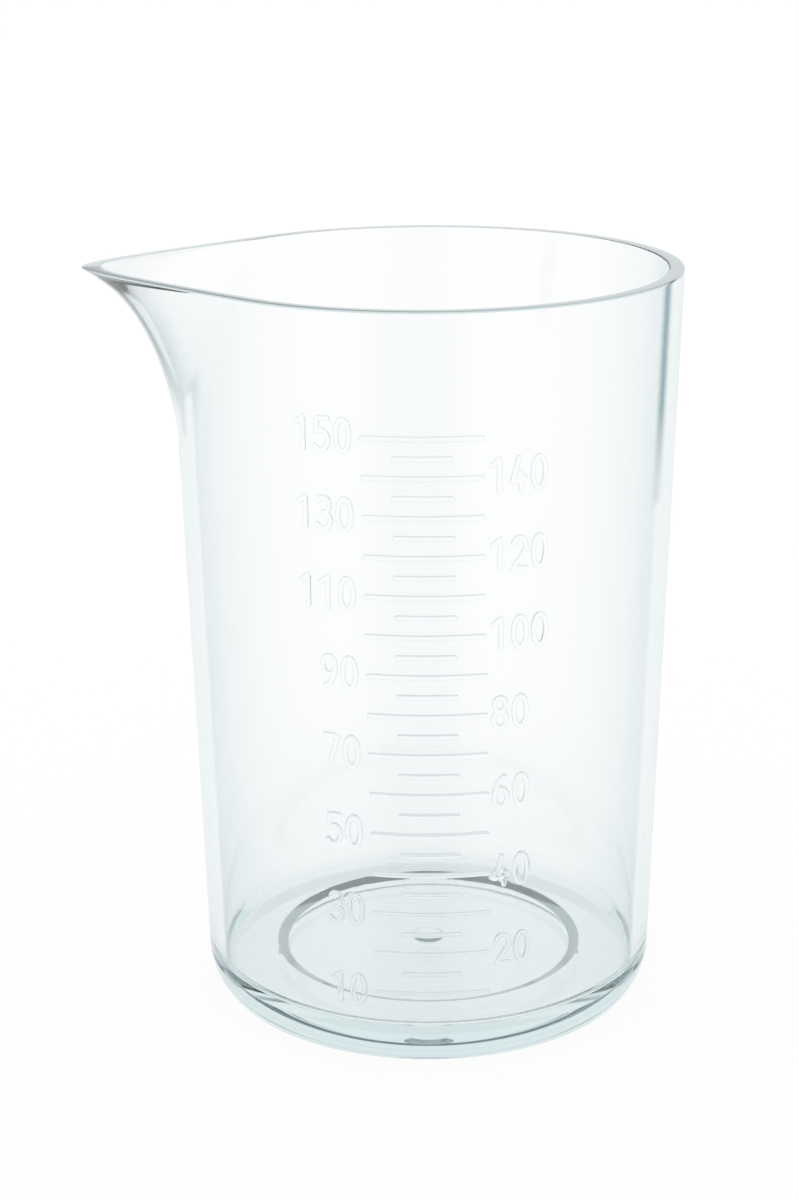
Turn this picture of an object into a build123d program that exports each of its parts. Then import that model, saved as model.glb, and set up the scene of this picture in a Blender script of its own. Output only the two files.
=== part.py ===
from build123d import *
from math import acos, cos, degrees, hypot, pi, radians, sin, tan
import os

# A measuring beaker in clear plastic, moulded in one go: a tapered cup with a long
# pouring spout and raised graduations. Millimetres, +Z up. The origin is on the cup's
# axis, on the surface that it stands on. The spout points along -X and the
# graduations face -Y.

# ---- driving dimensions ----
toe_radius = 26.8  # outside of the wall, carried down to the standing surface
draft_angle = 1.7  # the wall leans outwards by this much
wall_thickness = 1.8
headroom = 13.5  # wall above the highest graduation

# base
heel_height = 4.2  # the crease where the wall ends and the rounded heel starts
heel_bulge = 0.4  # how far the heel's arc stands out of its chord
heel_inset = 1.9  # the foot's edge lies this far inside the crease
floor_thickness = 3.4  # at the well
well_depth = 0.4  # the middle of the floor is a shallow round well
well_radius = 17.35  # its flat bottom
well_slope_width = 1.25  # its side slopes outwards by this much
corner_radius = 1.3  # inside, between the floor and the wall
recess_depth = 0.6  # shallow hollow under the floor
recess_radius = 17.4  # the hollow's flat roof
recess_slope_width = 1.2
gate_radius = 1.75  # raised mark that the moulding gate left in the middle of the well
gate_height = 0.35

# spout
spout_depth = 22.0  # the flare starts this far below the rim
spout_reach = 10.1  # how far the tip stands out of the round rim
early_share = 0.68  # part of the reach that grows evenly; the rest comes near the lip
tip_rounding = 6.3  # degrees, rounds the outline's tip
spout_margin = 2.0  # degrees of plain wall beside the spout
spout_levels = 11

# graduations
graduation_step = 10  # millilitres between long lines
graduation_last = 150
emboss_height = 0.3
stroke_width = 0.62
line_width = 0.62
long_line = 13.3
short_line = 6.8
digit_height = 4.1
digit_width = 2.1
digit_pitch = 2.35
numeral_lift = 0.15  # the numerals stand this much above the middle of their line
numeral_gap_left = 0.8  # from a numeral on the left to the end of its line
numeral_gap_right = 0.3
label_lean = 0.9  # degrees: the column of graduations leans to the left

# ---- dependent dimensions ----
taper = tan(radians(draft_angle))
well_bottom = recess_depth + floor_thickness
floor_top = well_bottom + well_depth
well_rim = well_radius + well_slope_width
well_volume = pi * well_depth * (well_radius**2 + well_radius * well_rim + well_rim**2) / 3
stroke_rise = digit_height - stroke_width  # size of a digit along its centre lines
stroke_run = digit_width - stroke_width


def wall_radius(height):
    """Outside radius of the plain tapered wall."""
    return toe_radius + taper * height


def inner_radius(height):
    """Inside radius of the plain tapered wall."""
    return wall_radius(height) - wall_thickness


def height_of_volume(millilitres):
    """Height up to which the cup holds this volume: above the well, the inside is part of
    a cone, whose volume goes with the cube of its radius."""
    cone_volume = millilitres * 1000 - well_volume
    cubed = inner_radius(floor_top) ** 3 + 3 * taper * cone_volume / pi
    return (cubed ** (1 / 3) - inner_radius(0)) / taper


rim_height = height_of_volume(graduation_last) + headroom
rim_radius = wall_radius(rim_height)
spout_start = rim_height - spout_depth
foot_radius = wall_radius(heel_height) - heel_inset


def spout_half_angle(height):
    """Angle from the spout's direction to where its flank leaves the round wall, with the
    keel's reach growing as a mixture of the second and eighth powers of the height."""
    share = (height - spout_start) / spout_depth
    reach = spout_reach * (early_share * share**2 + (1 - early_share) * share**8)
    wall = wall_radius(height)
    return degrees(acos(wall / (wall + reach))) + tip_rounding


def spout_radius(angle, height):
    """Distance of the outside from the axis at an angle from the spout's direction. The
    flanks are straight lines that touch the round wall."""
    turn = max(0, spout_half_angle(height) - hypot(angle, tip_rounding))
    return wall_radius(height) / cos(radians(turn))


spout_sector = spout_half_angle(rim_height) + spout_margin


# ---- side wall: a tapered tube with a notch for the spout ----
with BuildPart() as side_wall:
    with BuildSketch(Plane.XZ):
        with BuildLine():
            Polyline(
                (inner_radius(floor_top + corner_radius), floor_top + corner_radius),
                (wall_radius(heel_height), heel_height),
                (rim_radius, rim_height),
                (inner_radius(rim_height), rim_height),
                close=True,
            )
        make_face()
    revolve(axis=Axis.Z)
    notch_reach = 2 * rim_radius
    notch_side = notch_reach * tan(radians(spout_sector))
    with BuildSketch(Plane.XY.offset(spout_start)):
        with BuildLine():
            Polyline((0, 0), (-notch_reach, notch_side), (-notch_reach, -notch_side), close=True)
        make_face()
    extrude(amount=rim_height, mode=Mode.SUBTRACT)


# ---- pouring spout: one closed ring-shaped outline per level, lofted ----
def spout_point(angle, height, scale):
    """A point of the outline; a scale of one is the outside."""
    radius = spout_radius(angle, height) * scale
    return (-radius * cos(radians(angle)), -radius * sin(radians(angle)))


# The angles lie closer together near the tip, where the outline turns fastest.
outline_steps = 14
outline_angles = [
    spout_sector * (0.4 * i + 0.6 * i * abs(i) / outline_steps) / outline_steps
    for i in range(-outline_steps, outline_steps + 1)
]

with BuildPart() as pouring_spout:
    for level in range(spout_levels):
        height = spout_start + spout_depth * level / (spout_levels - 1)
        shrink = inner_radius(height) / wall_radius(height)
        outside = [spout_point(angle, height, 1) for angle in outline_angles]
        inside = [spout_point(angle, height, shrink) for angle in outline_angles]
        with BuildSketch(Plane.XY.offset(height)):
            with BuildLine():
                Spline(*outside)
                Line(outside[-1], inside[-1])
                Spline(*inside[::-1])
                Line(inside[0], outside[0])
            make_face()
    loft()


# ---- base: floor and foot share one turned outline, cut at the roof of the hollow ----
heel_top = (wall_radius(heel_height), heel_height)
heel_chord = (heel_top[0] - foot_radius, heel_height)
heel_out = heel_bulge / hypot(*heel_chord)
heel_middle = (
    foot_radius + heel_chord[0] / 2 + heel_chord[1] * heel_out,
    heel_chord[1] / 2 - heel_chord[0] * heel_out,
)
corner_top = (inner_radius(floor_top + corner_radius), floor_top + corner_radius)
corner_foot = (corner_top[0] - corner_radius, floor_top)

with BuildPart() as base:
    with BuildSketch(Plane.XZ):
        with BuildLine():
            Polyline(
                (0, recess_depth),
                (0, well_bottom),
                (well_radius, well_bottom),
                (well_rim, floor_top),
                corner_foot,
            )
            TangentArc(corner_foot, corner_top, tangent=(1, 0))
            Line(corner_top, heel_top)
            ThreePointArc(heel_top, heel_middle, (foot_radius, 0))
            Polyline(
                (foot_radius, 0),
                (recess_radius + recess_slope_width, 0),
                (recess_radius, recess_depth),
                (0, recess_depth),
            )
        make_face()
    revolve(axis=Axis.Z)

with BuildPart() as base_floor:
    add(base.part)
    split(bisect_by=Plane.XY.offset(recess_depth), keep=Keep.TOP)

with BuildPart() as foot_ring:
    add(base.part)
    split(bisect_by=Plane.XY.offset(recess_depth), keep=Keep.BOTTOM)

with BuildPart() as gate_mark:
    with BuildSketch(Plane.XY.offset(well_bottom)):
        Circle(gate_radius)
    extrude(amount=gate_height)


# ---- graduations: flat shapes pushed through a thin skin around the wall ----
with BuildPart() as skin:
    with BuildSketch(Plane.XZ):
        with BuildLine():
            Polyline(
                (wall_radius(heel_height), heel_height),
                (wall_radius(heel_height) + emboss_height, heel_height),
                (rim_radius + emboss_height, rim_height),
                (rim_radius, rim_height),
                close=True,
            )
        make_face()
    revolve(axis=Axis.Z)

front_depth = 0.6 * rim_radius  # shapes start this far in front of the axis
front = Plane.XZ.offset(front_depth)


def facing(turn):
    """The upright plane through the axis that faces -Y, turned by this many radians."""
    return Plane((0, 0, 0), x_dir=(cos(turn), sin(turn), 0), z_dir=(sin(turn), -cos(turn), 0))


def ellipse_at(place, x_radius, y_radius, start=0, end=360):
    return Edge.make_ellipse(x_radius, y_radius, Plane((*place, 0)), start, end)


def on_grid(x, y):
    """A place given as shares of the digit's run and rise."""
    return (x * stroke_run, y * stroke_rise)


def arc(x, y, size_x, size_y, start, end):
    """An elliptical stroke around a centre, anticlockwise from start to end in degrees."""
    return [ellipse_at(on_grid(x, y), *on_grid(size_x, size_y), start, end)]


def line(*points):
    """Straight strokes through these points."""
    places = [(*on_grid(*point), 0) for point in points]
    return [Edge.make_line(a, b) for a, b in zip(places, places[1:])]


def loop(x, y, size_x, size_y):
    """A closed oval stroke: a face between two ellipses."""
    run, rise = on_grid(size_x, size_y)
    half = stroke_width / 2
    place = on_grid(x, y)
    outer = Wire([ellipse_at(place, run + half, rise + half)])
    inner = Wire([ellipse_at(place, run - half, rise - half)])
    return Face(outer, [inner])


# Each digit: its closed ovals, then its open strokes.
digit_strokes = {
    "0": ([loop(0.5, 0.5, 0.5, 0.5)], []),
    "1": ([], line((0.03, 0.8), (0.62, 1), (0.62, 0))),
    "2": ([], arc(0.5, 0.72, 0.5, 0.28, -30, 160) + line((0.93, 0.58), (0, 0), (1, 0))),
    "3": ([], arc(0.45, 0.75, 0.47, 0.25, -90, 150) + arc(0.45, 0.26, 0.55, 0.26, -150, 90)),
    "4": ([], line((0.5, 1), (0, 0.26), (1, 0.36)) + line((0.6, 0.55), (0.7, 0))),
    "5": ([], line((0.95, 1), (0.15, 1), (0.1, 0.58)) + arc(0.42, 0.31, 0.58, 0.31, -140, 120)),
    "6": ([loop(0.5, 0.3, 0.5, 0.3)], arc(0.95, 0.3, 0.95, 0.7, 100, 180)),
    "7": ([], line((0, 1), (1, 1), (0.35, 0))),
    "8": ([loop(0.5, 0.77, 0.42, 0.23), loop(0.5, 0.27, 0.5, 0.27)], []),
    "9": ([loop(0.5, 0.7, 0.5, 0.3)], arc(0.05, 0.7, 0.95, 0.7, -80, 0)),
}


def digit_sketch(name):
    """One digit, its lower left corner at the origin. Open strokes have round ends."""
    ovals, edges = digit_strokes[name]
    with BuildSketch() as digit:
        for oval in ovals:
            add(oval)
        for edge in edges:
            trace(edge, stroke_width)
            for end in (edge @ 0, edge @ 1):
                with Locations(end):
                    Circle(stroke_width / 2)
    return digit.sketch.moved(Location((stroke_width / 2, stroke_width / 2, 0)))


digits = {name: digit_sketch(name) for name in digit_strokes}


def column_shift(height):
    """How far to the side the leaning column of graduations is at this height."""
    return (label_middle - height) * tan(radians(label_lean))


numbered = range(graduation_step, graduation_last + 1, graduation_step)
label_middle = (height_of_volume(numbered[0]) + height_of_volume(numbered[-1])) / 2

numerals = {}
for millilitres in numbered:
    text = str(millilitres)
    level = height_of_volume(millilitres)
    length = digit_pitch * (len(text) - 1) + digit_width
    on_the_left = millilitres // graduation_step % 2 == 1
    if on_the_left:
        start = -long_line / 2 - numeral_gap_left - length
    else:
        start = long_line / 2 + numeral_gap_right
    with BuildPart() as numeral:
        for place, name in enumerate(text):
            along = start + digit_pitch * place + digit_width / 2 + column_shift(level)
            with BuildSketch(facing(along / wall_radius(level)).offset(front_depth)):
                with Locations((-digit_width / 2, level - digit_height / 2 + numeral_lift)):
                    add(digits[name])
        extrude(amount=front_depth)
        add(skin.part, mode=Mode.INTERSECT)
    numerals[f"numeral_{text}"] = numeral


def graduation_lines(volumes, length):
    """Raised lines of one length at the heights of these volumes."""
    with BuildPart() as lines:
        with BuildSketch(front):
            for volume in volumes:
                level = height_of_volume(volume)
                with Locations((column_shift(level), level)):
                    SlotOverall(length, line_width)
        extrude(amount=front_depth)
        add(skin.part, mode=Mode.INTERSECT)
    return lines


half_step = graduation_step / 2
long_lines = graduation_lines(numbered, long_line)
short_lines = graduation_lines([volume + half_step for volume in numbered[:-1]], short_line)


# ---- export ----
pieces = {
    "side_wall": side_wall,
    "pouring_spout": pouring_spout,
    "base_floor": base_floor,
    "foot_ring": foot_ring,
    "gate_mark": gate_mark,
    "long_graduation_lines": long_lines,
    "short_graduation_lines": short_lines,
    **numerals,
}

os.makedirs("parts", exist_ok=True)
for name, piece in pieces.items():
    piece.part.label = name
    export_step(piece.part, f"parts/{name}.step")
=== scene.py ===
import bpy
import numpy as np
from mathutils import Euler, Matrix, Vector
from mathutils.geometry import delaunay_2d_cdt


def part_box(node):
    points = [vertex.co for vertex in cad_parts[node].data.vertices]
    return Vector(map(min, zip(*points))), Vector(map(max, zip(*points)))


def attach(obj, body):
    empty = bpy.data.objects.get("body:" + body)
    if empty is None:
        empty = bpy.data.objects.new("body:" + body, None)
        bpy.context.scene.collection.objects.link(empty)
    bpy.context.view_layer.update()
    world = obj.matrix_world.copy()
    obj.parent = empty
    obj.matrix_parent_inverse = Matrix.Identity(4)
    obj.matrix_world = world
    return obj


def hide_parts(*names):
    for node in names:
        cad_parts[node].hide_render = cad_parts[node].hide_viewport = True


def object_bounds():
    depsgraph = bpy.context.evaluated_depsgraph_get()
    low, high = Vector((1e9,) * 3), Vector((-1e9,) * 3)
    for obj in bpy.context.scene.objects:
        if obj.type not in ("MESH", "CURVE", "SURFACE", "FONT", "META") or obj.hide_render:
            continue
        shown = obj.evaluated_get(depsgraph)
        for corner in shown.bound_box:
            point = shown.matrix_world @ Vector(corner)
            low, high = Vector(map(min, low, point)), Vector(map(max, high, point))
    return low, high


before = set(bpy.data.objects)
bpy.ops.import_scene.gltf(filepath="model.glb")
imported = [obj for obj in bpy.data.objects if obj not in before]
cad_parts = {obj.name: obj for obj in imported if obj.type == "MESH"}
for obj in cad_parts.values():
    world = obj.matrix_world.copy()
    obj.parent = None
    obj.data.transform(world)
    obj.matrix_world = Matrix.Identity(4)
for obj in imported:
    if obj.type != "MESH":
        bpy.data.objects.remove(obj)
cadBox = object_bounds()
mm = 0.001
print("frame loaded with", len(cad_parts), "nodes")


# camera

view = {
    "place": (0.0, -275.5 * mm, 134.1 * mm),
    "down": 16.56,  # degrees below the horizon
    "left": 0.69,
    "roll": -0.39,
    "lens": 72.9,
    "shiftY": -0.033,
}


def makeCamera():
    camera = bpy.data.objects.new("camera", bpy.data.cameras.new("camera"))
    bpy.context.scene.collection.objects.link(camera)
    camera.data.lens = view["lens"]
    camera.data.shift_y = view["shiftY"]
    camera.data.clip_start = 0.01
    camera.location = view["place"]
    aim = Euler((np.radians(90 - view["down"]), 0, np.radians(view["left"]))).to_matrix()
    turned = aim @ Matrix.Rotation(np.radians(view["roll"]), 3, "Z")
    camera.rotation_euler = turned.to_euler()
    bpy.context.scene.camera = camera


makeCamera()
print("camera ready")


# the moulding's sizes, read from the frame where it has them

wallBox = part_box("side_wall")
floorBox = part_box("base_floor")
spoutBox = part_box("pouring_spout")

cup = {
    "rimHeight": wallBox[1][2],
    "rimRadius": wallBox[1][0],
    "creaseHeight": 4.2 * mm,
    "creaseRadius": floorBox[1][0],
    "wall": 1.8 * mm,
    "rimRounding": 0.2 * mm,
    "cornerRadius": 1.3 * mm,
    "hold": 0.06 * mm,  # rows this far from an edge keep the faces beside it flat
    "columns": 300,
    "crowding": 0.62,  # how much closer together the columns are at the spout
    "lowRows": 30,
    "spoutRows": 40,
}
foot = {
    "recessDepth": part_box("foot_ring")[1][2],
    "recessRadius": 17.4 * mm,
    "slopeWidth": 1.2 * mm,
    "footInset": 1.9 * mm,
    "heelBulge": 0.4 * mm,
    "softEdge": 0.3 * mm,
}
well = {
    "depth": 0.4 * mm,
    "radius": 17.35 * mm,
    "slopeWidth": 1.25 * mm,
    "gateRadius": 1.75 * mm,
    "gateHeight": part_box("gate_mark")[1][2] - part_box("gate_mark")[0][2],
    "softEdge": 0.25 * mm,
    "gateSide": 0.2 * mm,  # the matte finish reaches this far to each side of its edge
}
spout = {
    "start": spoutBox[0][2],
    "reach": -spoutBox[0][0] - wallBox[1][0],
    "earlyShare": 0.68,
    "tipRounding": 6.3,  # degrees
    "keelShade": 0.95,
    "keelWidth": 6.5,  # degrees
    "keelFrom": 0.05,  # shares of the spout's depth: where the keel's shade starts,
    "keelRise": 0.3,  # how far it takes to grow,
    "keelFade": 0.45,  # and how far to fade before the rim
}
taper = (cup["rimRadius"] - cup["creaseRadius"]) / (cup["rimHeight"] - cup["creaseHeight"])


# the plain wall's outside: a radius that grows evenly with the height
def wallRadius(height):
    return cup["creaseRadius"] + taper * (height - cup["creaseHeight"])


# the outside with the spout: the wall's radius over the cosine of a turn, which falls
# evenly from the keel to where the flank leaves the wall, so the flanks are straight; the
# keel's reach is a mixture of the second and eighth powers of the height
def outerRadius(angle, height):
    share = np.clip((height - spout["start"]) / (cup["rimHeight"] - spout["start"]), 0, 1)
    early = spout["earlyShare"]
    reach = spout["reach"] * (early * share**2 + (1 - early) * share**8)
    wall = wallRadius(height)
    half = np.degrees(np.arccos(wall / (wall + reach))) + spout["tipRounding"]
    turn = np.clip(half - np.hypot(angle, spout["tipRounding"]), 0, None)
    return wall / np.cos(np.radians(turn))


# the inside: the outside drawn in by the share that the wall's thickness takes
def innerRadius(angle, height):
    return outerRadius(angle, height) * (1 - cup["wall"] / wallRadius(height))


# a path of radius and height through corners, each corner cut by a circle's arc that
# touches both its sides, with one more point on each side just beyond the arc
def roundedPath(corners, steps=5):
    points = [np.array(corners[0][:2])]
    for before, corner, after in zip(corners, corners[1:], corners[2:]):
        here = np.array(corner[:2])
        back = np.array(before[:2]) - here
        on = np.array(after[:2]) - here
        back, on = back / np.linalg.norm(back), on / np.linalg.norm(on)
        halfAngle = np.arccos(np.clip(back @ on, -1, 1)) / 2
        if corner[2] == 0 or halfAngle > 1.55:
            points.append(here)
            continue
        middle = (back + on) / np.linalg.norm(back + on)
        centre = here + middle * corner[2] / np.sin(halfAngle)
        length = corner[2] / np.tan(halfAngle)
        start, end = here + back * length - centre, here + on * length - centre
        share = np.linspace(0, 1, steps)[:, None]
        spread = np.pi - 2 * halfAngle
        swing = np.sin((1 - share) * spread) * start + np.sin(share * spread) * end
        points.append(centre + start + back * cup["hold"])
        points.extend(centre + swing / np.sin(spread))
        points.append(centre + end + on * cup["hold"])
    points.append(np.array(corners[-1][:2]))
    return np.array(points)


# the underside from its middle to the crease: hollow, standing ring and heel, the heel
# being a chord bowed out by a parabola
def basePath():
    depth, soft = foot["recessDepth"], foot["softEdge"]
    roof = foot["recessRadius"]
    toe = cup["creaseRadius"] - foot["footInset"]
    share = np.append(np.linspace(0, 1, 12)[1:-1], (0.985, 1))
    chord = np.array([foot["footInset"], cup["creaseHeight"]])
    outward = np.array([chord[1], -chord[0]]) / np.linalg.norm(chord)
    bow = (4 * share * (1 - share))[:, None] * foot["heelBulge"] * outward
    heel = np.array([toe, 0]) + share[:, None] * chord + bow
    corners = [
        (0, depth, 0),
        (roof, depth, soft),
        (roof + foot["slopeWidth"], 0, soft),
        (toe, 0, soft),
        *[(radius, height, 0) for radius, height in heel],
    ]
    return roundedPath(corners)


# the floor from the corner's foot to its middle: a step down into the well, and the
# gate's mark standing up in the middle of it
def floorPath(start, top):
    bottom, soft = top - well["depth"], well["softEdge"]
    mark, markTop = well["gateRadius"], top - well["depth"] + well["gateHeight"]
    corners = [
        (start, top, 0),
        (start - cup["hold"], top, 0),
        (well["radius"] + well["slopeWidth"], top, soft),
        (well["radius"], bottom, soft),
        (mark + 0.1 * mm, bottom, soft / 3),
        (mark, markTop, soft / 2),
        (0, markTop, 0),
    ]
    return roundedPath(corners, 4)


# column angles in degrees from the spout: an even count with a sine wave taken off, which
# crowds the columns at the spout
def columnAngles():
    turn = np.arange(cup["columns"]) / cup["columns"] - 0.5
    return 360 * turn - cup["crowding"] * np.degrees(np.sin(2 * np.pi * turn))


# heights of the wall's rows: even below the spout, and closer together towards the rim
def rowHeights():
    low = np.linspace(cup["creaseHeight"], spout["start"], cup["lowRows"])
    low = np.insert(low, 1, low[0] + cup["hold"])
    share = np.linspace(0, 1, cup["spoutRows"])[1:]
    top = cup["rimHeight"] - cup["rimRounding"]
    high = spout["start"] + (top - spout["start"]) * (1 - (1 - share) ** 1.4)
    return np.concatenate([low, high])


# graduations: strokes given as shares of a digit's run and rise

marks = {
    "digitHeight": 4.1 * mm,
    "digitWidth": 2.1 * mm,
    "digitPitch": 2.35 * mm,
    "stroke": 0.62 * mm,
    "longLine": 13.3 * mm,
    "shortLine": 6.8 * mm,
    "gapLeft": 0.8 * mm,
    "gapRight": 0.3 * mm,
    "lift": 0.15 * mm,
    "lean": 0.9,  # degrees
    "rise": 0.18 * mm,
    "step": 0.22 * mm,
    "lineStep": 0.33 * mm,
    "across": (0.5, 0.74, 0.88, 0.96, 1.0, 1.12, 1.7),  # shares of half a stroke
    "clearance": 0.7 * mm,  # no grid points this near to a stroke's middle
    # painted shade at the strokes' sides, at most
    "shade": 0.38,
    "sideMiddle": 0.9,  # shares of half a stroke: the middle of its side,
    "sideWidth": 0.24,  # and how far the shade there takes to fade
    "reach": 33.0,  # degrees to each side of the front
    "margin": 1.2 * mm,  # the label goes on above and below its strokes by this much
}
run = marks["digitWidth"] - marks["stroke"]
rise = marks["digitHeight"] - marks["stroke"]


# an elliptical arc about a centre, anticlockwise, as points
def arc(x, y, sizeX, sizeY, start, end):
    turn = np.radians(np.linspace(start, end, 3 + int(abs(end - start) / 9)))
    return np.stack([(x + sizeX * np.cos(turn)) * run, (y + sizeY * np.sin(turn)) * rise], 1)


def line(*points):
    return np.array(points) * (run, rise)


digits = {
    "0": [arc(0.5, 0.5, 0.5, 0.5, 0, 360)],
    "1": [line((0.03, 0.8), (0.62, 1), (0.62, 0))],
    "2": [arc(0.5, 0.72, 0.5, 0.28, -30, 160), line((0.93, 0.58), (0, 0), (1, 0))],
    "3": [arc(0.45, 0.75, 0.47, 0.25, -90, 150), arc(0.45, 0.26, 0.55, 0.26, -150, 90)],
    "4": [line((0.5, 1), (0, 0.26), (1, 0.36)), line((0.6, 0.55), (0.7, 0))],
    "5": [line((0.95, 1), (0.15, 1), (0.1, 0.58)), arc(0.42, 0.31, 0.58, 0.31, -140, 120)],
    "6": [arc(0.5, 0.3, 0.5, 0.3, 0, 360), arc(0.95, 0.3, 0.95, 0.7, 100, 180)],
    "7": [line((0, 1), (1, 1), (0.35, 0))],
    "8": [arc(0.5, 0.77, 0.42, 0.23, 0, 360), arc(0.5, 0.27, 0.5, 0.27, 0, 360)],
    "9": [arc(0.5, 0.7, 0.5, 0.3, 0, 360), arc(0.05, 0.7, 0.95, 0.7, -80, 0)],
}


# every stroke as points of distance along the wall and height, one list for each mark
def graduationStrokes():
    volumes = sorted(int(n.split("_")[1]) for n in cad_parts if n.startswith("numeral_"))
    boxes = [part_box(f"numeral_{volume}") for volume in volumes]
    levels = [(box[0][2] + box[1][2]) / 2 - marks["lift"] for box in boxes]
    middle = (levels[0] + levels[-1]) / 2
    slope = np.tan(np.radians(marks["lean"]))
    found = []
    for index, (volume, level) in enumerate(zip(volumes, levels)):
        shift = (middle - level) * slope
        half = marks["longLine"] / 2
        ends = np.array([[-half, 0], [half, 0]]) * (1 - marks["stroke"] / marks["longLine"])
        found.append([ends + (shift, level)])
        text = str(volume)
        length = marks["digitPitch"] * (len(text) - 1) + marks["digitWidth"]
        start = -half - marks["gapLeft"] - length if index % 2 == 0 else half + marks["gapRight"]
        bottom = level - marks["digitHeight"] / 2 + marks["lift"]
        corner = np.array([start + shift, bottom]) + marks["stroke"] / 2
        for place, name in enumerate(text):
            at = corner + (marks["digitPitch"] * place, 0)
            found.append([points + at for points in digits[name]])
    for low, high in zip(levels, levels[1:]):
        level = (low + high) / 2
        half = (marks["shortLine"] - marks["stroke"]) / 2
        found.append([np.array([[-half, 0], [half, 0]]) + ((middle - level) * slope, level)])
    return found


# points along a chain, evenly spaced by length, with the direction at each
def resample(chain, step):
    lengths = np.concatenate([[0], np.cumsum(np.hypot(*np.diff(chain, axis=0).T))])
    count = max(3, int(np.ceil(lengths[-1] / step)) + 1)
    at = np.linspace(0, lengths[-1], count)
    points = np.stack([np.interp(at, lengths, chain[:, axis]) for axis in (0, 1)], 1)
    along = np.gradient(points, axis=0)
    return points, along / np.linalg.norm(along, axis=1)[:, None]


# distance from each point to a chain: to the nearest place on each straight piece of it
def chainDistance(points, chain):
    start, along = chain[:-1], np.diff(chain, axis=0)
    toPoint = points[:, None] - start[None]
    share = np.clip((toPoint * along).sum(2) / (along**2).sum(1), 0, 1)
    return np.linalg.norm(toPoint - share[..., None] * along, axis=2).min(1)


# a raised stroke is flat on top and steep at its sides: one less the fourth power of the
# distance from its middle, as a share of half its width
def strokeHeight(distance):
    share = np.clip(distance / (marks["stroke"] / 2), 0, 1)
    return marks["rise"] * (1 - share**4)


# painted shade on a stroke's side: how much a point lies on it, most at the side's middle,
# falling evenly to nothing on both sides of it
def strokeSide(distance):
    share = distance / (marks["stroke"] / 2)
    away = np.abs(share - marks["sideMiddle"]) / marks["sideWidth"]
    return marks["shade"] * np.clip(1 - away, 0, 1)


# the label's points that follow the strokes: rows beside each chain, and rings round its
# ends; a point nearer to another stroke than to its own is left out
def strokePoints(strokes):
    half = marks["stroke"] / 2
    across = np.array(marks["across"]) * half
    offsets = np.concatenate([[0], across, -across])
    found, own = [], []
    for chains in strokes:
        for chain in chains:
            step = marks["lineStep"] if len(chain) == 2 else marks["step"]
            points, along = resample(chain, step)
            side = np.stack([-along[:, 1], along[:, 0]], 1)
            beside = points[:, None] + offsets[None, :, None] * side[:, None]
            found.append(beside.reshape(-1, 2))
            own.append(np.tile(np.abs(offsets), len(points)))
            if np.allclose(chain[0], chain[-1]):
                continue
            turn = np.linspace(0, 2 * np.pi, 17)[:-1]
            ring = np.stack([np.cos(turn), np.sin(turn)], 1)
            for end, away in ((points[0], -along[0]), (points[-1], along[-1])):
                rays = ring[ring @ away > 0.05]
                found.append((end + across[:, None, None] * rays).reshape(-1, 2))
                own.append(np.repeat(across, len(rays)))
    found, own = np.concatenate(found), np.concatenate(own)
    return found[nearestStroke(found, strokes) > own - 0.03 * mm]


# distance from each point to the nearest stroke, where one is near
def nearestStroke(points, strokes):
    nearest = np.full(len(points), 1.0)
    margin = 1.5 * mm
    for chains in strokes:
        every = np.concatenate(chains)
        low, high = every.min(0) - margin, every.max(0) + margin
        close = np.flatnonzero(((points > low) & (points < high)).all(1))
        if len(close):
            for chain in chains:
                nearest[close] = np.minimum(nearest[close], chainDistance(points[close], chain))
    return nearest


# a point of the outside, from its angle and height, lifted straight out of the wall
def onWall(angle, height, lift):
    lean = np.hypot(1, taper)
    radius = wallRadius(height) + lift / lean
    height = height - lift * taper / lean
    turn = np.radians(angle)
    return np.stack([-radius * np.cos(turn), -radius * np.sin(turn), height], 1)


# painted shade along the spout's keel: a bell curve of the angle,
# starting softly above the spout's foot and fading towards the lip
def keelShade(angles, levels):
    share = (levels - spout["start"]) / (cup["rimHeight"] - spout["start"])
    grown = np.clip((share - spout["keelFrom"]) / spout["keelRise"], 0, 1) ** 2
    left = np.clip((1 - share) / spout["keelFade"], 0, 1)
    return spout["keelShade"] * grown * left * np.exp(-((angles / spout["keelWidth"]) ** 2))


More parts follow.
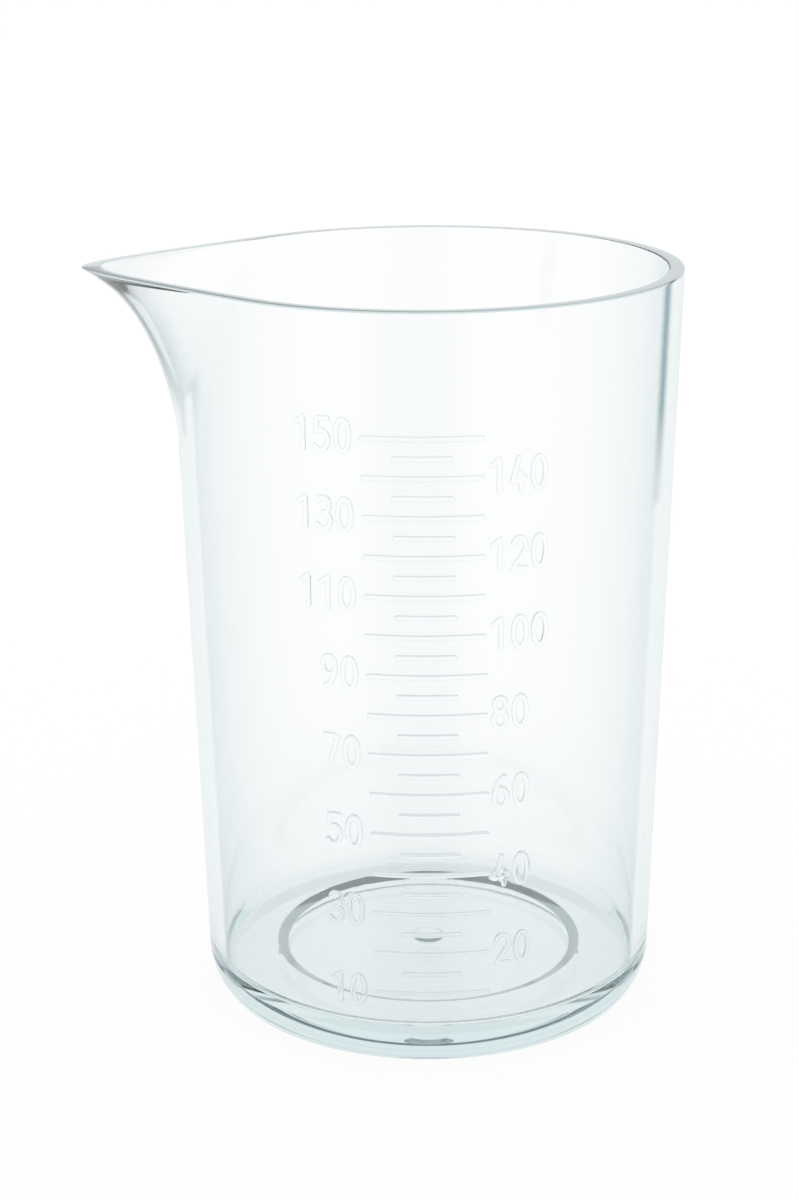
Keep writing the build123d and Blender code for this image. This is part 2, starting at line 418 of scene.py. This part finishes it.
# the whole moulding: one closed surface of columns round the axis and rows that run from
# the middle of the underside, out, up the outside, over the rim, down the inside and
# across the floor to the middle again
def makeMoulding():
    angles = columnAngles()
    count = len(angles)
    heights = rowHeights()
    base = basePath()[1:-1]
    edge = cup["rimRounding"]
    bend = np.linspace(0, np.pi / 2, 5)[1:]
    around = np.ones(count)
    rimTop = cup["rimHeight"]

    def ring(radius, height):
        return radius * around, height * around

    rows = [ring(radius, height) for radius, height in base]
    wallStart = len(rows)
    for height in heights:
        rows.append((outerRadius(angles, height), height * around))
    for turn in bend:
        height = rimTop - edge + edge * np.sin(turn)
        rows.append((outerRadius(angles, height) - edge * (1 - np.cos(turn)), height * around))
    rimRow = len(rows) - 1  # the flat top starts here
    for turn in bend[::-1]:
        height = rimTop - edge + edge * np.sin(turn)
        rows.append((innerRadius(angles, height) + edge * (1 - np.cos(turn)), height * around))
    cornerTop = floorBox[1][2]
    inside = heights[heights > cornerTop + 0.5 * mm][::-1]
    for height in np.append(inside, cornerTop + cup["hold"]):
        rows.append((innerRadius(angles, height), height * around))
    cornerRadius = cup["cornerRadius"]
    cornerMiddle = wallRadius(cornerTop) - cup["wall"] - cornerRadius
    for turn in np.linspace(0, np.pi / 2, 9):
        radius = cornerMiddle + cornerRadius * np.cos(turn)
        rows.append(ring(radius, cornerTop - cornerRadius * np.sin(turn)))
    floor = floorPath(cornerMiddle, cornerTop - cornerRadius)
    rows.extend(ring(radius, height) for radius, height in floor[1:-1])

    radii = np.array([row[0] for row in rows])
    levels = np.array([row[1] for row in rows])
    turn = np.radians(angles)
    grid = np.stack([-radii * np.cos(turn), -radii * np.sin(turn), levels], 2).reshape(-1, 3)
    poles = np.array([[0, 0, basePath()[0][1]], [0, 0, floor[-1][1]]])

    # the sides of the well and of the gate's mark are matte, and their darker blue-green is
    # painted shade for the dark ring that shows there
    sideMiddle = well["radius"] + well["slopeWidth"] / 2
    onSide = np.abs(radii[:, 0] - sideMiddle) < well["slopeWidth"] / 2
    onSide |= np.abs(radii[:, 0] - well["gateRadius"]) < well["gateSide"]
    onSide &= np.arange(len(rows)) > rimRow
    # painted shade, kept as the shade attribute: along the keel here, and on the strokes' sides
    # below
    shade = np.append(keelShade(angles, levels).ravel(), (0, 0))

    # quads between neighbouring rows and columns, except under the label
    front = np.flatnonzero(np.abs(angles - 90) < marks["reach"])
    strokes = graduationStrokes()
    every = np.concatenate([chain for chains in strokes for chain in chains])
    low = wallStart + np.searchsorted(heights, every[:, 1].min() - marks["margin"]) - 1
    high = wallStart + np.searchsorted(heights, every[:, 1].max() + marks["margin"])
    row, column = np.meshgrid(np.arange(len(rows) - 1), np.arange(count), indexing="ij")
    label = (row >= low) & (row < high) & (column >= front[0]) & (column < front[-1])
    row, column = row[~label], column[~label]
    after = (column + 1) % count
    here, above = row * count, (row + 1) * count
    quads = np.stack([here + column, here + after, above + after, above + column], 1)
    around = np.arange(count)
    nextOne = (around + 1) % count
    last = (len(rows) - 1) * count
    bottomFan = np.stack([np.full(count, len(grid)), nextOne, around], 1)
    topFan = np.stack([np.full(count, len(grid) + 1), last + around, last + nextOne], 1)

    # the label: the same grid's points and the strokes' points, joined into triangles
    patchRow, patchColumn = np.meshgrid(np.arange(low, high + 1), front, indexing="ij")
    patchIndex = (patchRow * count + patchColumn).ravel()
    patchHeight = heights[patchRow.ravel() - wallStart]
    patchAlong = np.radians(angles[patchColumn.ravel()] - 90) * wallRadius(patchHeight)
    patch = np.stack([patchAlong, patchHeight], 1)
    shape = patchRow.shape
    where = np.arange(patchRow.size).reshape(shape)
    border = np.concatenate([where[0, :-1], where[:-1, -1], where[-1, :0:-1], where[:0:-1, 0]])
    onBorder = np.zeros(len(patch), bool)
    onBorder[border] = True
    clear = nearestStroke(patch, strokes) > marks["clearance"]
    keep = clear | onBorder
    renumber = np.cumsum(keep) - 1
    patch, patchIndex, border = patch[keep], patchIndex[keep], renumber[border]
    extra = strokePoints(strokes)
    points = np.concatenate([patch, extra]) / mm
    faces = [border.tolist()]
    result = delaunay_2d_cdt(points.tolist(), [], faces, 1, 1e-4)
    flat = np.array([tuple(p) for p in result[0]]) * mm
    source = np.array([min(o) if o else -1 for o in result[3]])
    triangles = np.array(result[2])
    lift = strokeHeight(nearestStroke(flat, strokes))
    angle = 90 + np.degrees(flat[:, 0] / wallRadius(flat[:, 1]))
    raised = onWall(angle, flat[:, 1], lift)
    isGrid = (source >= 0) & (source < len(patch))
    place = np.where(isGrid, 0, len(grid) + 2 + np.cumsum(~isGrid) - 1)
    place[isGrid] = patchIndex[source[isGrid]]
    vertices = np.concatenate([grid, poles, raised[~isGrid]])
    triangles = np.concatenate([bottomFan, topFan, place[triangles]])

    # drop the grid points that the label no longer uses
    used = np.zeros(len(vertices), bool)
    used[quads.ravel()] = True
    used[triangles.ravel()] = True
    # painted shade on the strokes' sides
    shade = np.append(shade, strokeSide(nearestStroke(flat[~isGrid], strokes)))
    renumber = np.cumsum(used) - 1
    mesh = bpy.data.meshes.new("beaker_moulding")
    polygons = renumber[quads].tolist() + renumber[triangles].tolist()
    mesh.from_pydata(vertices[used].tolist(), [], polygons)
    mesh.polygons.foreach_set("use_smooth", np.ones(len(polygons), bool))
    finish = np.zeros(len(polygons), int)
    finish[: len(quads)][(row >= rimRow - len(bend)) & (row <= rimRow)] = 1
    finish[: len(quads)][onSide[row] & onSide[row + 1]] = 2
    mesh.polygons.foreach_set("material_index", finish)
    layer = mesh.attributes.new("shade", "FLOAT", "POINT")
    layer.data.foreach_set("value", shade[used].astype(np.float32))
    mesh.update()
    piece = bpy.data.objects.new("beaker_moulding", mesh)
    bpy.context.scene.collection.objects.link(piece)
    print("moulding:", len(mesh.vertices), "points,", len(quads) * 2 + len(triangles), "triangles")
    return piece


# clear plastic: glossy, with faint flow waves and slight haze that changes over the
# surface, a blue-green tint that grows with depth, and a little more of it towards the
# foot; painted shade in a darker blue-green where the wall is seen edge-on, at the sides of
# the raised strokes and along the spout's keel, a painted dark line just inside the upper
# wall's outline, and a painted reflection as a faint darker band up the middle

plastic = {
    "ior": 1.5,
    "tint": (0.30, 0.57, 0.59, 1),
    "density": 8.5,
    "colour": (1, 1, 1, 1),
    # painted shade: a darker blue-green where the wall is seen edge-on
    "paintedEdgeShade": (0.49, 0.63, 0.67, 1),
    "edgePower": 2.4,
    "paintedShadeLine": (0.05, 0.14, 0.17, 1),  # painted shade: a dark line just inside the upper wall's outline
    "streakShift": (2.28, 0, 0),  # it lies closer to the outline on the spout's side
    "streakFrom": (0.665, 0.71),
    "streakTo": (0.74, 0.79),
    "streakFade": (68 * mm, 77 * mm),
    "streakTilt": (0.138, 0, 1),  # its lower end is higher on the spout's side
    "streakHeight": (65.6 * mm, 66.6 * mm),
    "streakDepth": (0, -1 * mm),  # only on the front half
    "paintedReflectionTint": (0.977, 0.983, 0.985, 1),  # painted reflection: a faint darker band straight up the middle
    "paintedReflectionMiddle": -1.2 * mm,
    "paintedReflectionWidth": (7.5 * mm, 3.0 * mm),
    "footTint": (0.93, 0.955, 0.96, 1),
    "footFrom": 26 * mm,
    "footTo": 2 * mm,
    # painted shade colour where the shade attribute says: along the keel and on the strokes' sides
    "shadeTint": (0.42, 0.54, 0.58, 1),
    "clearness": 1.0,
    "gloss": (0.012, 0.05),
    "waveScale": 38.0,
    "waveStretch": (1, 1, 0.25),  # flow waves run up the wall
    "waveHeight": 0.02 * mm,
    "grainScale": 90.0,
    "grainSpan": (0.35, 0.75),  # noise values between the two ends of the gloss
}
rim = {
    "colour": (0.89, 0.98, 0.985, 1),
    "clearness": 0.15,
}
# painted shade: the well's and the gate mark's sides, matte and a darker blue-green
wellSide = {
    "colour": (0.72, 0.84, 0.86, 1),
    "clearness": 0.3,
}


def makePlastic(name, colour, clearness):
    material = bpy.data.materials.new(name)
    material.use_nodes = True
    nodes, links = material.node_tree.nodes, material.node_tree.links
    shader = nodes["Principled BSDF"]
    shader.inputs["Transmission Weight"].default_value = clearness
    shader.inputs["IOR"].default_value = plastic["ior"]

    def mapRange(value, span, result):
        node = nodes.new("ShaderNodeMapRange")
        for name, number in zip(("From Min", "From Max", "To Min", "To Max"), (*span, *result)):
            node.inputs[name].default_value = number
        links.new(value, node.inputs["Value"])
        return node.outputs["Result"]

    def mixColour(share, first, second, blend="MIX"):
        node = nodes.new("ShaderNodeMix")
        node.data_type = "RGBA"
        node.blend_type = blend
        for socket, value in ((0, share), (6, first), (7, second)):
            if isinstance(value, (int, float, tuple)):
                node.inputs[socket].default_value = value
            else:
                links.new(value, node.inputs[socket])
        return node.outputs[2]

    def multiply(first, second):
        node = nodes.new("ShaderNodeMath")
        node.operation = "MULTIPLY"
        links.new(first, node.inputs[0])
        links.new(second, node.inputs[1])
        return node.outputs[0]

    def dot(vector, direction):
        node = nodes.new("ShaderNodeVectorMath")
        node.operation = "DOT_PRODUCT"
        node.inputs[1].default_value = direction
        links.new(vector, node.inputs[0])
        return node.outputs["Value"]

    def noise(vector, scale, detail):
        node = nodes.new("ShaderNodeTexNoise")
        node.inputs["Scale"].default_value = scale
        node.inputs["Detail"].default_value = detail
        links.new(vector, node.inputs["Vector"])
        return node.outputs["Fac"]

    place = nodes.new("ShaderNodeTexCoord").outputs["Object"]
    split = nodes.new("ShaderNodeSeparateXYZ")
    links.new(place, split.inputs["Vector"])
    # Layer Weight's facing drives two painted shades: the darker blue-green where the wall is seen
    # edge-on, and the dark line just inside the upper wall's outline
    facing = nodes.new("ShaderNodeLayerWeight")
    facing.inputs["Blend"].default_value = 0.5
    paintedEdgeShade = nodes.new("ShaderNodeMath")
    paintedEdgeShade.operation = "POWER"
    paintedEdgeShade.inputs[1].default_value = plastic["edgePower"]
    links.new(facing.outputs["Facing"], paintedEdgeShade.inputs[0])
    low = mapRange(split.outputs["Z"], (plastic["footFrom"], plastic["footTo"]), (0, 1))
    # painted shade from the shade attribute: along the keel and on the strokes' sides
    side = nodes.new("ShaderNodeAttribute")
    side.attribute_name = "shade"
    # painted shade where the wall is seen edge-on
    colour = mixColour(paintedEdgeShade.outputs[0], colour, plastic["paintedEdgeShade"])
    colour = mixColour(low, colour, mixColour(1.0, colour, plastic["footTint"], "MULTIPLY"))
    # painted reflection: a faint darker band straight up the middle, a little off the axis
    across = nodes.new("ShaderNodeMath")
    across.operation = "SUBTRACT"
    across.inputs[1].default_value = plastic["paintedReflectionMiddle"]
    links.new(split.outputs["X"], across.inputs[0])
    away = nodes.new("ShaderNodeMath")
    away.operation = "ABSOLUTE"
    links.new(across.outputs[0], away.inputs[0])
    paintedReflection = mapRange(away.outputs[0], plastic["paintedReflectionWidth"], (0, 1))
    colour = mixColour(paintedReflection, colour, mixColour(1.0, colour, plastic["paintedReflectionTint"], "MULTIPLY"))
    # painted shade: a dark line just inside the upper wall's outline, on the front half, from
    # Layer Weight's facing shifted towards the spout's side
    shifted = nodes.new("ShaderNodeMath")
    shifted.operation = "ADD"
    links.new(facing.outputs["Facing"], shifted.inputs[0])
    links.new(dot(place, plastic["streakShift"]), shifted.inputs[1])
    paintedShadeLine = multiply(
        mapRange(shifted.outputs[0], plastic["streakFrom"], (0, 1)),
        mapRange(shifted.outputs[0], plastic["streakTo"], (1, 0)),
    )
    tilted = dot(place, plastic["streakTilt"])
    paintedShadeLine = multiply(paintedShadeLine, mapRange(tilted, plastic["streakHeight"], (0, 1)))
    paintedShadeLine = multiply(paintedShadeLine, mapRange(tilted, plastic["streakFade"], (0.4, 1)))
    paintedShadeLine = multiply(paintedShadeLine, mapRange(split.outputs["Y"], plastic["streakDepth"], (0, 1)))
    colour = mixColour(paintedShadeLine, colour, plastic["paintedShadeLine"])
    # painted shade: the colour darkened by shadeTint
    shaded = mixColour(1.0, colour, plastic["shadeTint"], "MULTIPLY")
    links.new(mixColour(side.outputs["Fac"], colour, shaded), shader.inputs["Base Color"])

    stretch = nodes.new("ShaderNodeMapping")
    stretch.inputs["Scale"].default_value = plastic["waveStretch"]
    links.new(place, stretch.inputs["Vector"])
    bump = nodes.new("ShaderNodeBump")
    bump.inputs["Distance"].default_value = plastic["waveHeight"]
    bump.inputs["Strength"].default_value = 1
    links.new(noise(stretch.outputs["Vector"], plastic["waveScale"], 2), bump.inputs["Height"])
    links.new(bump.outputs["Normal"], shader.inputs["Normal"])
    haze = noise(place, plastic["grainScale"], 6)
    links.new(mapRange(haze, plastic["grainSpan"], plastic["gloss"]), shader.inputs["Roughness"])

    inside = nodes.new("ShaderNodeVolumeAbsorption")
    inside.inputs["Color"].default_value = plastic["tint"]
    inside.inputs["Density"].default_value = plastic["density"]
    links.new(inside.outputs["Volume"], nodes["Material Output"].inputs["Volume"])
    return material


moulding = makeMoulding()
for name, finish in (
    ("clear_wall", plastic),
    ("matte_rim_edge", rim),
    ("matte_well_side", wellSide),
):
    moulding.data.materials.append(makePlastic(name, finish["colour"], finish["clearness"]))
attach(moulding, "root")
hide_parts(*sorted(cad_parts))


# studio: a pale table under a bright even horizon, with a darker ceiling

studio = {
    "tableSize": 4.0,
    "tableColour": (0.15, 0.15, 0.15, 1),
    "tableGlow": 0.9,
    "tableGap": 0.1 * mm,
    "bounces": 24,
    "horizon": 1.05,
    "ceiling": 0.45,
    "ceilingFrom": 0.55,  # height of the bright band, as the upward share of a direction
    "ceilingTo": 0.75,
}


def makeTable():
    half = studio["tableSize"] / 2
    mesh = bpy.data.meshes.new("table")
    corners = [(-half, -half), (half, -half), (half, half), (-half, half)]
    height = cadBox[0][2] - studio["tableGap"]
    mesh.from_pydata([(x, y, height) for x, y in corners], [], [(0, 1, 2, 3)])
    table = bpy.data.objects.new("table", mesh)
    bpy.context.scene.collection.objects.link(table)
    material = bpy.data.materials.new("pale_table")
    material.use_nodes = True
    shader = material.node_tree.nodes["Principled BSDF"]
    shader.inputs["Base Color"].default_value = studio["tableColour"]
    shader.inputs["Roughness"].default_value = 0.9
    shader.inputs["Specular IOR Level"].default_value = 0
    shader.inputs["Emission Color"].default_value = (1, 1, 1, 1)
    shader.inputs["Emission Strength"].default_value = studio["tableGlow"]
    mesh.materials.append(material)


def makeWorld():
    world = bpy.data.worlds.new("studio")
    bpy.context.scene.world = world
    world.use_nodes = True
    nodes, links = world.node_tree.nodes, world.node_tree.links
    place = nodes.new("ShaderNodeTexCoord")
    split = nodes.new("ShaderNodeSeparateXYZ")
    links.new(place.outputs["Generated"], split.inputs["Vector"])
    band = nodes.new("ShaderNodeMapRange")
    band.interpolation_type = "SMOOTHSTEP"
    band.inputs["From Min"].default_value = studio["ceilingFrom"]
    band.inputs["From Max"].default_value = studio["ceilingTo"]
    band.inputs["To Min"].default_value = studio["horizon"]
    band.inputs["To Max"].default_value = studio["ceiling"]
    links.new(split.outputs["Z"], band.inputs["Value"])
    background = nodes["Background"]
    background.inputs["Color"].default_value = (1, 1, 1, 1)
    links.new(band.outputs["Result"], background.inputs["Strength"])


makeTable()
makeWorld()
bpy.context.scene.view_settings.view_transform = "Standard"
light = bpy.context.scene.cycles  # light runs far inside the clear floor
light.max_bounces = studio["bounces"]
light.glossy_bounces = light.transmission_bounces = studio["bounces"]
print("studio ready")
